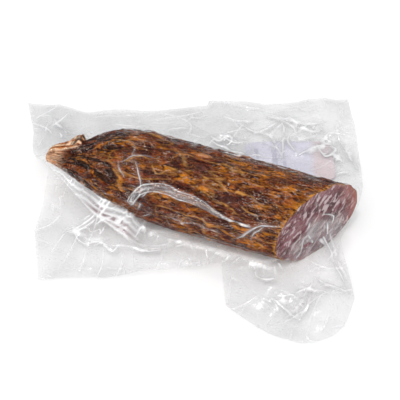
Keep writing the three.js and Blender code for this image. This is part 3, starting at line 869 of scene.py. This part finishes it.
def upper_film():
    points, kind, welded = film_grid(FILM_STEP, under=False)
    up = np.sign(grid_normals(points)[len(kind) // 3, points.shape[1] // 2, 2]) or 1
    along, sideways, gap = outside(*plan(points))
    off_face = kind[:, None] != ON_FACE
    loose = rise(gap, 0.0, 1.5) * off_face
    near_seam = off_face * (points[..., 2] < 30) * bell(gap / 5)
    points = relax(points, 0.9 * near_seam, RELAX_ROUNDS)
    points[..., 2] += crumple(*plan(points)) * loose
    way = (grid_normals(points) * up).reshape(-1, 3)
    flat = points.reshape(-1, 3)
    x, y, z = flat.T
    along, sideways, gap, loose = (values.ravel() for values in (along, sideways, gap, loose))
    kind = np.repeat(kind, points.shape[1])
    on_face = kind == ON_FACE
    on_sausage = kind == ON_SAUSAGE
    near_side = sideways < 0

    # the margins are whiter with haze in places, and the crests of their folds carry a painted highlight
    thicker = (0.045 * rise(gap, 12, 50) + 0.12 * rise(y, 35, 60) * fall(x, 20, 60)
               + 0.02 * rise(y, 35, 60) + 0.08 * rise(-y, 50, 75) * fall(x, 60, 90))
    folds = Folds(loose * (0.055 + thicker) + 0.003)
    crests = fold_lines(x, y) * loose * rise(gap, 4, 12)
    folds.add(0.35 * crests, crests, 0.3 * crests)

    # the film held off the near side, striped, with a bright brim; under it the film is hazier and painted
    # darker as shade
    sheet = tent(along, sideways) * loose * near_side
    stripes = wave(gap * 2.2 + 3 * noise(along / 14, gap / 5, 0, 81)) ** 2
    outward = gap / (2.5 + 0.135 * np.clip(along, 0, 90))
    band = sheet * fall(outward, 0.85, 1.1)
    brim = sheet * bell((outward - 1) / 0.09)
    veil_and_shade = band * rise(along, 34, 50) * rise(outward, 0.35, 0.65) * (1 - 0.8 * stripes)
    folds.add(band * (0.3 + 0.34 * stripes) + 0.4 * veil_and_shade + 0.25 * brim,
              np.maximum(band * (0.35 + 0.65 * stripes) * (1 - veil_and_shade), brim),
              0.35 * band * stripes + 0.3 * brim)

    # short pulls beside the near side, painted glint streaks on the far edge, threads low on the near side
    pulls = wave(along * 0.8 + 4 * noise(along / 9, gap / 9, 0, 82)) ** 6
    pulls = pulls * loose * near_side * rise(along, 80, 95) * bell(gap / 9)
    folds.add(0.2 * pulls, pulls, 0.7 * pulls)
    _, _, shift, height = section_at(along)
    turn = np.arctan2(sideways - shift, z - height)
    glint_streaks = rise(noise(along / 4.5, turn * ROUND / 1.1, 0, 84), 0.05, 0.5)
    far_edge = on_sausage * bell((turn - FAR_EDGE_TURN) / FAR_EDGE_SPREAD) * (along > 35)
    folds.add(far_edge * (0.05 + 0.6 * glint_streaks), far_edge * glint_streaks)
    low_side = rise(along, 62, 90) * rise(22 - z, 0, 8) * fall(gap, 2, 6)
    low_side = low_side * on_sausage * near_side
    threads = wave(z * 1.5 + gap * 1.3 + 4 * noise(along / 22, z / 7, gap / 7, 83)) ** 4
    folds.add(low_side * (0.02 + 0.25 * threads), low_side * (0.2 + 0.8 * threads))

    which, d, share = near_line(flat, curve_through([spot(*place) for place in pairs(LONG_PLEAT)]), 9)
    radius = 2.9 - 1.9 * rise(share, 0.4, 0.95) - 0.9 * fall(share, 0, 0.15)
    radius = radius * (1 + 0.12 * noise(share * 14, 0, 0, 85))
    ends = rise(share, -0.02, 0.06) * fall(share, 0.97, 1.0)
    edge = ends * bell((d - radius) / 0.36)
    inner = ends * bell((d - 0.35 * radius) / 0.3)
    under_pleat = ends * (d < radius)
    folds.add(0.5 * edge + 0.18 * inner + 0.27 * under_pleat, np.maximum(edge, 0.4 * inner),
              1.1 * ends * np.exp(-(d / radius) ** 4), which)
    # painted shade under the pleat
    veil_and_shade[which] = np.maximum(veil_and_shade[which], 0.3 * under_pleat * (1 - edge))

    # the film over the cut face, whitish, and where it runs down to the margin
    shares = face_place(flat)
    across, upward = shares.T
    offset, _, _ = nearest_on_line(shares, FACE_VEIL + FACE_VEIL[:1])
    veiled = inside(FACE_VEIL, across, upward) * rise(offset, 0, 0.25)
    veiled = veiled * (0.55 + 0.45 * noise(across * 5 - upward * 2, upward * 3, 0, 86))
    skirt = (kind == BEYOND_CUT) * bell(gap / 6) * rise(across, -0.7, -0.2)
    skirt = skirt * (0.6 + 0.4 * noise(across * 8, gap / 6, 0, 87))
    folds.add(on_face * (0.02 + 0.46 * veiled) + 0.22 * skirt, 0.55 * on_face * veiled)

    unrolled = np.stack([along, turn * ROUND], axis=-1)
    for places, *size in SKIN_CREASES:
        folds.crease(unrolled, on_sausage & (gap < 4), line_on_skin(places), *size)
    for places, width, height, veil in FACE_CREASES:
        line = curve_through(pairs(places) * FACE_SIZE)
        folds.crease(shares * FACE_SIZE, on_face, line, width, height, FACE_CREASE_VEIL * veil)
    for size, creases in MARGIN_CREASES.items():
        for places in creases:
            folds.crease(flat[:, :2], (gap > 0.5) & ~on_face, curve_through(pairs(places)), *size)
    broken = loose * rise(noise(x / 2.8, y / 2.8, 0, 91), -0.5, -0.1)
    for *middle, length, width, degrees in GLARES:
        glare = broken * oval(flat[:, :2], middle, length, width, radians(degrees))
        folds.add(GLARE_HAZE * glare, glare)

    flat = flat + way * folds.lift[:, None]
    flat[:, 2] = np.maximum(flat[:, 2], LOWEST_FILM)
    layers = {"haze": np.clip(folds.haze, 0, THICKEST_HAZE), "shine": np.clip(folds.shine, 0, 1),
              "loose": loose, "veil_and_shade": veil_and_shade}
    crest = points.shape[1] * 3 // 7
    return [trimmed(name, flat.reshape(points.shape), welded, layers, columns)
            for name, columns in (("film_near", slice(0, crest + 1)), ("film_far", slice(crest, None)))]


def lower_film():
    points, kind, welded = film_grid(UNDER_STEP, under=True)
    _, _, gap = outside(*plan(points))
    loose = rise(gap, 0.0, 1.5)
    near_seam = (kind[:, None] != ON_FACE) * (points[..., 2] > 6) * bell(gap / 5)
    points = relax(points, 0.9 * near_seam, RELAX_ROUNDS_UNDER)
    points[..., 2] += (0.8 * crumple(*plan(points)) - UNDER_FILM_DROP) * loose
    points[..., 2] = np.maximum(points[..., 2], LOWEST_UNDER_FILM)
    layers = {"haze": (0.04 + 0.04 * rise(gap, 12, 40)) * loose + 0.01, "loose": loose}
    return trimmed("film_under", points, welded, layers)


# Label

LABEL_MIDDLE = (75.0, 51.0)
LABEL_LENGTH = 66.0
LABEL_WIDTH = 42.0
LABEL_CORNER = 6.0
LABEL_TURN = radians(3)
LABEL_THICKNESS = 0.3
LABEL_UNDER_FILM = 0.9
LOWEST_LABEL = 0.6
LABEL_COLUMNS = 56
LABEL_ROWS = 36


def label_sheet():
    columns, rows = LABEL_COLUMNS, LABEL_ROWS
    u, v = np.meshgrid(np.linspace(-1, 1, columns) * LABEL_LENGTH / 2,
                       np.linspace(-1, 1, rows) * LABEL_WIDTH / 2)
    inner_u, inner_v = LABEL_LENGTH / 2 - LABEL_CORNER, LABEL_WIDTH / 2 - LABEL_CORNER
    du, dv = np.abs(u) - inner_u, np.abs(v) - inner_v
    corner = (du > 0) & (dv > 0)
    reach = np.maximum(np.maximum(du, dv), 1e-6)
    shrink = np.where(corner, reach / np.hypot(du, dv), 1)
    u = np.sign(u) * (inner_u + du * shrink)
    v = np.sign(v) * (inner_v + dv * shrink)
    x = LABEL_MIDDLE[0] + u * cos(LABEL_TURN) - v * sin(LABEL_TURN)
    y = LABEL_MIDDLE[1] + u * sin(LABEL_TURN) + v * cos(LABEL_TURN)
    _, _, gap = outside(x, y)
    z = margin_top(x, y) + 0.8 * crumple(x, y) * rise(gap, 0, 1.5) - LABEL_UNDER_FILM
    z = np.maximum(z, LOWEST_LABEL)
    top = np.stack([x, y, z], axis=-1)
    bottom = top - [0, 0, LABEL_THICKNESS]
    every = np.concatenate([top.reshape(-1, 3), bottom.reshape(-1, 3)])
    quads = grid_faces(rows, columns)
    count = rows * columns
    ring = np.concatenate([np.arange(columns), np.arange(1, rows) * columns + columns - 1,
                           count - 2 - np.arange(columns - 1), np.arange(rows - 2, 0, -1) * columns])
    walls = np.stack([ring, ring + count, np.roll(ring, -1) + count, np.roll(ring, -1)], axis=-1)
    faces = np.concatenate([quads[:, ::-1], quads + count, walls]).tolist()
    obj = mesh_from("label_sheet", every, faces, smooth=False)
    paint(obj, "across", np.tile((u / LABEL_LENGTH + 0.5).ravel(), 2))
    paint(obj, "upward", np.tile((v / LABEL_WIDTH + 0.5).ravel(), 2))
    return obj


# Materials

class Nodes:
    """Short ways to add shader nodes to a material. Each gives the output of the node it adds."""

    def __init__(self, name):
        self.material = bpy.data.materials.new(name)
        self.material.use_nodes = True
        self.tree = self.material.node_tree
        self.shader = self.tree.nodes["Principled BSDF"]
        self.color = None

    def add(self, kind, output, inputs, **settings):
        node = self.tree.nodes.new("ShaderNode" + kind)
        for key, value in settings.items():
            setattr(node, key, value)
        for key, value in inputs.items():
            self.join(value, node.inputs[key])
        return node.outputs[output]

    def join(self, value, socket):
        if isinstance(value, bpy.types.NodeSocket):
            self.tree.links.new(value, socket)
            return
        if socket.type == "RGBA":
            value = (*value, 1)
        socket.default_value = value

    def set(self, **inputs):
        for key, value in inputs.items():
            self.join(value, self.shader.inputs[key.replace("_", " ")])

    def place(self, squeeze=(1, 1, 1), *turns):
        """Place in the object, turned about its axes and then squeezed along the turned ones."""
        where = self.add("TexCoord", "Object", {})
        for turn in turns:
            where = self.add("Mapping", "Vector", {"Vector": where, "Rotation": turn})
        return self.add("Mapping", "Vector", {"Vector": where, "Scale": squeeze})

    def warped(self, vector, scale, amount):
        """The place pushed about by noise, by an amount in mm."""
        colors = self.add("TexNoise", "Color", {"Vector": vector, "Scale": scale, "Detail": 2})
        off = self.add("VectorMath", 0, {0: colors, 1: (0.5, 0.5, 0.5)}, operation="SUBTRACT")
        push = self.add("VectorMath", 0, {0: off, "Scale": amount * MM}, operation="SCALE")
        return self.add("VectorMath", 0, {0: vector, 1: push})

    def cells(self, vector, scale):
        """Distance to the edges of a cracked pattern, in cells."""
        return self.add("TexVoronoi", "Distance", {"Vector": vector, "Scale": scale},
                        feature="DISTANCE_TO_EDGE")

    def thread(self, value, level, width):
        """Thin lines where a smooth value crosses a level."""
        off = self.math("ABSOLUTE", self.math("SUBTRACT", value, level))
        return self.range(off, 0, width, 1, 0)

    def noise(self, vector, scale, detail=3.0, roughness=0.55, distortion=0.0):
        return self.add("TexNoise", "Fac", {"Vector": vector, "Scale": scale, "Detail": detail,
                                            "Roughness": roughness, "Distortion": distortion})

    def ramp(self, fac, *stops):
        output = self.add("ValToRGB", "Color", {"Fac": fac})
        elements = output.node.color_ramp.elements
        while len(elements) < len(stops):
            elements.new(0.5)
        for element, (at, color) in zip(elements, stops):
            element.position = at
            element.color = (*color, 1)
        return output

    def range(self, value, low, high, to_low=0.0, to_high=1.0):
        inputs = {"Value": value, "From Min": low, "From Max": high, "To Min": to_low, "To Max": to_high}
        return self.add("MapRange", "Result", inputs, interpolation_type="SMOOTHSTEP")

    def math(self, operation, a, b=0.5):
        return self.add("Math", 0, {0: a, 1: b}, operation=operation)

    def times(self, a, b):
        return self.math("MULTIPLY", a, b)

    def plus(self, total, *others):
        for other in others:
            total = self.math("ADD", total, other)
        return total

    def mix(self, share, a, b):
        return self.add("Mix", 2, {0: share, 6: a, 7: b}, data_type="RGBA")

    def over(self, cover, color):
        """Lays a colour over what the material has so far."""
        self.color = self.mix(cover, self.color, color)

    def layer(self, name):
        """A value that the mesh carries at its points."""
        return self.add("Attribute", "Fac", {}, attribute_name=name)

    def bump(self, height, strength, distance, under=None):
        inputs = {"Height": height, "Strength": strength, "Distance": distance * MM}
        if under is not None:
            inputs["Normal"] = under
        return self.add("Bump", "Normal", inputs)


def casing_material():
    m = Nodes("dried_casing")
    along_axis = (0, 0, -LIE_ANGLE)
    flow = m.place((1.0, 2.3, 2.3), along_axis)
    middle = m.noise(flow, 62, 5, 0.62, 0.8)
    m.color = m.ramp(middle, (0.38, (0.045, 0.004, 0.001)), (0.47, (0.11, 0.014, 0.002)),
                   (0.54, (0.2, 0.03, 0.001)), (0.64, (0.34, 0.072, 0.001)))
    fine = m.noise(flow, 155, 4, 0.6, 0.9)
    grey = m.math("MAXIMUM", m.times(m.layer("grey"), 0.8),
                  m.range(m.noise(flow, 21, 2, 0.5), 0.6, 0.68, 0.0, 0.5))
    m.over(grey, m.ramp(fine, (0.42, (0.05, 0.01, 0.008)), (0.6, (0.17, 0.06, 0.042))))
    broad = m.range(m.noise(flow, 27, 3, 0.6, 0.5), 0.56, 0.63, 0.0, 0.8)
    amber = m.math("MAXIMUM", m.layer("amber"), broad)
    amber = m.times(amber, m.range(fine, 0.36, 0.54, 0.3, 1.0))
    m.over(amber, m.ramp(fine, (0.38, (0.23, 0.044, 0.001)), (0.56, (0.67, 0.215, 0.001))))
    m.over(m.range(fine, 0.39, 0.5, 0.9, 0.0), (0.034, 0.004, 0.001))
    m.over(m.times(m.layer("cut_edge"), m.range(fine, 0.4, 0.5)), (0.66, 0.27, 0.03))
    # painted shade in the hollows of the wrinkles
    m.over(m.times(m.layer("hollow_shade"), 0.9), (0.03, 0.004, 0.001))
    cracks = m.cells(m.warped(flow, 80, 9.0), 112)
    rib = m.times(m.range(cracks, 0.01, 0.05, 1.0, 0.0),
                 m.range(m.noise(flow, 75, 2, 0.5), 0.44, 0.58))
    m.over(m.times(rib, 0.45), (0.5, 0.18, 0.04))
    thread = m.times(m.thread(m.noise(flow, 62, 4, 0.65, 0.5), 0.5, 0.012),
                    m.range(m.noise(flow, 48, 2, 0.5), 0.46, 0.56))
    m.over(m.times(thread, 0.75), (0.66, 0.27, 0.07))
    m.over(m.times(m.layer("vein"), 0.9), (0.7, 0.32, 0.07))
    # painted glints: small pale specks stand in for highlights on the casing
    specks = m.times(m.range(m.noise(flow, 560, 2, 0.6), 0.63, 0.69),
                    m.range(m.noise(flow, 60, 2, 0.5), 0.45, 0.6, 0.0, 0.6))
    m.over(specks, (0.62, 0.44, 0.36))
    strips = m.plus(m.times(m.layer("strip"), 0.6), m.times(fine, 0.8))
    tan_skin = m.ramp(strips, (0.4, (0.22, 0.044, 0.01)), (0.55, (0.66, 0.23, 0.065)),
                      (0.78, (0.95, 0.64, 0.42)))
    at_tip = m.range(m.layer("along"), 0.03, 0.085, 0.95, 0.0)
    m.over(m.math("MAXIMUM", m.range(m.layer("flap"), 0.06, 0.2), at_tip), tan_skin)
    # painted shade in the bottoms of the deep folds at the tip
    m.over(m.range(m.layer("fold"), 0.15, 0.5, 0.0, 0.92), (0.018, 0.004, 0.002))
    pillow = m.times(m.range(cracks, 0.0, 0.35), 0.8)
    height = m.plus(middle, m.times(fine, 0.9), pillow, m.times(thread, 0.5))
    uneven = m.bump(height, 1.0, 2.6)
    glints = m.bump(m.noise(flow, 640, 3, 0.6), 1.0, 0.5, uneven)
    m.set(Base_Color=m.color, Roughness=m.range(middle, 0.3, 0.7, 0.6, 0.4), Specular_IOR_Level=0.08,
          Coat_Weight=0.4, Coat_Roughness=0.08, Coat_Normal=glints, Normal=uneven)
    return m.material


def face_material():
    m = Nodes("cut_face")
    # the grain of the cut runs steeply up across the slanted face
    turned = m.place((1.0, 1.0, 2.5), (0, 0, -(CUT_ANGLE + LIE_ANGLE)), (0, FLECK_TILT, 0))
    lean = m.noise(turned, 75, 4, 0.65, 0.4)
    m.color = m.ramp(lean, (0.38, (0.06, 0.009, 0.013)), (0.48, (0.145, 0.035, 0.046)),
                   (0.64, (0.27, 0.115, 0.13)))
    fat = m.plus(m.noise(turned, 130, 3, 0.6, 0.5), m.times(m.layer("fat"), 0.14))
    m.over(m.range(fat, 0.56, 0.6, 0.0, 0.95), (0.55, 0.43, 0.44))
    specks = m.noise(turned, 330, 2, 0.5)
    m.over(m.range(specks, 0.58, 0.66, 0.0, 0.6), (0.42, 0.29, 0.3))
    m.over(m.times(m.layer("far_corner"), 0.55), (0.4, 0.13, 0.1))
    m.over(m.range(m.layer("rim"), 0.955, 0.985), (0.42, 0.17, 0.045))
    m.set(Base_Color=m.color, Roughness=0.5, Specular_IOR_Level=0.2, Coat_Weight=0.12, Coat_Roughness=0.12,
          Normal=m.bump(m.plus(fat, specks), 0.5, 0.6))
    return m.material


def film_material(name):
    m = Nodes(name)
    loose = m.layer("loose")
    where = m.place()
    clouds = m.range(m.noise(where, 45, 3, 0.55), 0.3, 0.75, 0.75, 1.3)
    shown = m.times(loose, m.range(m.noise(where, 30, 2, 0.5), 0.5, 0.6))
    # fine creases of the loose film: hazier, with a painted white highlight
    crease_glints = m.times(m.thread(m.noise(where, 34, 2, 0.5, 0.8), 0.5, 0.006), shown)
    flow = m.place((1.0, 2.2, 2.2), (0, 0, -LIE_ANGLE))
    # painted glints: specks and curls of the film get a pale colour and more alpha
    glints = m.times(m.range(m.noise(flow, 330, 3, 0.6), 0.62, 0.69),
                    m.range(m.noise(flow, 48, 2, 0.5), 0.5, 0.64))
    glint_curls = m.times(m.thread(m.noise(flow, 105, 3, 0.6, 0.9), 0.5, 0.02),
                   m.range(m.noise(flow, 80, 2, 0.5), 0.46, 0.56))
    glints = m.math("MAXIMUM", glints, m.times(glint_curls, m.range(loose, 0.0, 1.0, 0.9, 0.3)))
    rim = m.times(m.add("LayerWeight", "Fresnel", {"Blend": 0.2}), 0.05)
    alpha = m.plus(m.times(m.layer("haze"), clouds), rim, m.times(crease_glints, 0.45),
                   m.times(glints, 0.45))
    # painted highlight: where the film shines its colour turns white, partly whiter folded film
    white = m.math("MAXIMUM", m.layer("shine"), crease_glints)
    # painted shade: the film's colour turns dark brown where film is held off the sausage
    grey = m.mix(m.layer("veil_and_shade"), (0.5, 0.5, 0.515), (0.2, 0.115, 0.125))
    m.color = m.mix(white, grey, (0.97, 0.97, 0.98))
    # painted glints and curly glints: tan on the sausage and white on the margins
    m.over(glints, m.mix(loose, (0.95, 0.68, 0.54), (0.97, 0.97, 0.98)))
    m.set(Base_Color=m.color, Roughness=0.15, IOR=1.5, Coat_Weight=0.6, Coat_Roughness=0.05, Alpha=alpha,
          Normal=m.bump(m.noise(where, 160, 3, 0.5), 0.3, 0.8))
    return m.material


# Bars on the label, as shares of its length and width: left, right, low, high
LABEL_BARS = ((0.1, 0.15, 0.35, 0.8), (0.3, 0.36, 0.35, 0.8), (0.42, 0.46, 0.2, 0.5))


def label_material():
    m = Nodes("label_print")
    across, upward = m.layer("across"), m.layer("upward")
    m.color = m.mix(m.noise(m.place(), 60), (0.76, 0.75, 0.86), (0.82, 0.81, 0.91))
    for left, right, low, high in LABEL_BARS:
        bar = 0.45
        for place, start, end in ((across, left, right), (upward, low, high)):
            bar = m.times(m.math("GREATER_THAN", place, start), bar)
            bar = m.times(m.math("LESS_THAN", place, end), bar)
        m.over(bar, (0.38, 0.38, 0.5))
    blurred = m.plus(across, m.times(m.noise(m.place(), 90, 3), 0.16))
    m.over(m.range(blurred, 0.8, 0.9), (0.8, 0.68, 0.7))
    m.set(Base_Color=m.color, Roughness=0.55, Normal=m.bump(m.noise(m.place(), 900, 2), 0.1, 0.1))
    return m.material


def floor_material():
    m = Nodes("pale_floor")
    m.set(Base_Color=(0.93, 0.93, 0.93), Roughness=0.9, Specular_IOR_Level=0.0)
    return m.material


# Pieces

def add_pieces():
    body = sausage()
    body.data.materials.append(casing_material())
    body.data.materials.append(face_material())
    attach(body, "root")
    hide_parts("sealed_sausage")
    clear = film_material("clear_film")
    for over in upper_film():
        over.data.materials.append(clear)
        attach(over, "root")
        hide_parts("bag_margins", "sealed_sausage")
    under = lower_film()
    under.data.materials.append(clear)
    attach(under, "root")
    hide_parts("bag_margins")
    sheet = label_sheet()
    sheet.data.materials.append(label_material())
    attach(sheet, "root")
    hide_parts("label")


FLOOR_SIZE = 4000
FLOOR_HEIGHT = -0.05


def add_floor():
    corners = [(x * FLOOR_SIZE, y * FLOOR_SIZE, FLOOR_HEIGHT)
               for x, y in ((-1, -1), (1, -1), (1, 1), (-1, 1))]
    floor = mesh_from("floor", corners, [[0, 1, 2, 3]], smooth=False)
    floor.data.materials.append(floor_material())


def facing(obj, towards):
    """Turns a light or camera so that its back looks along a direction."""
    obj.rotation_euler = towards.to_track_quat("Z", "Y").to_euler()


# Soft and small suns: azimuth from behind the camera to its right, elevation, strength, width
SUNS = {"front": (-34, 54, 1.5, 60), "behind": (160, 64, 0.1, 30), "right": (30, 46, 0.6, 50),
        "spark_front": (-20, 64, 0.45, 4), "spark_behind": (168, 68, 0.2, 4)}
SKY_STRENGTH = 0.42


def add_lights():
    world = bpy.data.worlds.new("studio")
    bpy.context.scene.world = world
    world.use_nodes = True
    background = world.node_tree.nodes["Background"]
    background.inputs["Color"].default_value = (1, 1, 1, 1)
    background.inputs["Strength"].default_value = SKY_STRENGTH
    for name, (azimuth, elevation, strength, width) in SUNS.items():
        light = bpy.data.lights.new(name, "SUN")
        light.energy = strength
        light.angle = radians(width)
        a, e = radians(azimuth), radians(elevation)
        towards = Vector((sin(a) * cos(e), -cos(a) * cos(e), sin(e)))
        facing(new_object(name, light), towards)
    bpy.context.scene.view_settings.view_transform = "Standard"


def add_camera():
    camera = bpy.data.cameras.new("camera")
    camera.sensor_width = SENSOR
    camera.lens = SENSOR * VIEW_DISTANCE / VIEW_WIDTH
    camera.clip_start = 0.05
    obj = new_object("camera", camera)
    back = Vector((0, -cos(VIEW_ELEVATION), sin(VIEW_ELEVATION)))
    obj.location = VIEW_MIDDLE + back * VIEW_DISTANCE
    facing(obj, back)
    bpy.context.scene.camera = obj


add_camera()
add_pieces()
add_floor()
add_lights()
